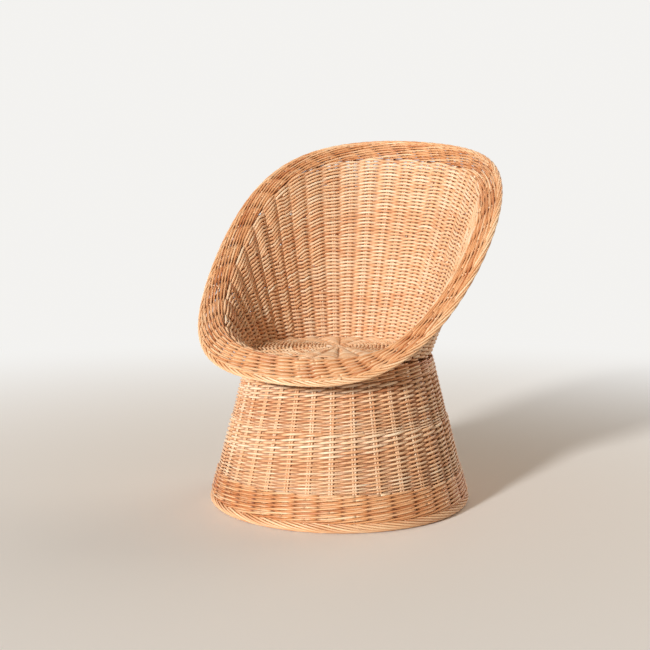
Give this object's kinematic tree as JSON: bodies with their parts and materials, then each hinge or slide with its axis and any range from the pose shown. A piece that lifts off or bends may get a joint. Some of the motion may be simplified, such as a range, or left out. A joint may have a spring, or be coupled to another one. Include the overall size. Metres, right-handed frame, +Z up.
{
  "type": "wicker bucket chair",
  "caption": "Wicker bucket chair: a deep round bowl seat with a wide flared lip, high at the back and low in front, on a flared woven drum.",
  "frame": {"origin": "on the floor, under the middle of the whole chair's box", "axes": "+Z is up; the chair faces -Y, its high back is towards +Y, and X runs across it"},
  "size_m": [0.6612, 0.6832, 0.8277],
  "materials": {
    "weave": "peeled willow rods, honey coloured, satin varnish",
    "wale": "heavier peeled willow rods, a little browner, satin varnish",
    "stakes": "pale willow stakes and rim border, satin varnish, worn lighter on the edge"
  },
  "bodies": {
    "root": {"foot_border": "wale", "foot_wale": "wale", "neck_wale": "wale", "lip_wale_inner": "wale", "lip_wale_outer": "wale", "seat_sticks": "stakes", "bowl_stakes_and_rim": "stakes", "drum_weave_1": "weave", "drum_weave_2": "weave", "drum_weave_3": "weave", "drum_weave_4": "weave", "bowl_weave_1": "weave", "seat_weave_1": "weave", "bowl_weave_2": "weave", "seat_weave_2": "weave", "bowl_weave_3": "weave", "seat_weave_3": "weave", "drum_stake_01": "stakes", "drum_stake_02": "stakes", "drum_stake_03": "stakes", "drum_stake_04": "stakes", "drum_stake_05": "stakes", "drum_stake_06": "stakes", "drum_stake_07": "stakes", "drum_stake_08": "stakes", "drum_stake_09": "stakes", "drum_stake_10": "stakes", "drum_stake_11": "stakes", "drum_stake_12": "stakes", "drum_stake_13": "stakes", "drum_stake_14": "stakes", "drum_stake_15": "stakes", "drum_stake_16": "stakes", "drum_stake_17": "stakes", "drum_stake_18": "stakes", "drum_stake_19": "stakes", "drum_stake_20": "stakes", "drum_stake_21": "stakes", "drum_stake_22": "stakes", "drum_stake_23": "stakes", "drum_stake_24": "stakes", "drum_stake_25": "stakes", "drum_stake_26": "stakes", "drum_stake_27": "stakes", "drum_stake_28": "stakes", "drum_stake_29": "stakes", "drum_stake_30": "stakes", "drum_stake_31": "stakes", "drum_stake_32": "stakes", "drum_stake_33": "stakes", "drum_stake_34": "stakes"}
  },
  "joints": []
}
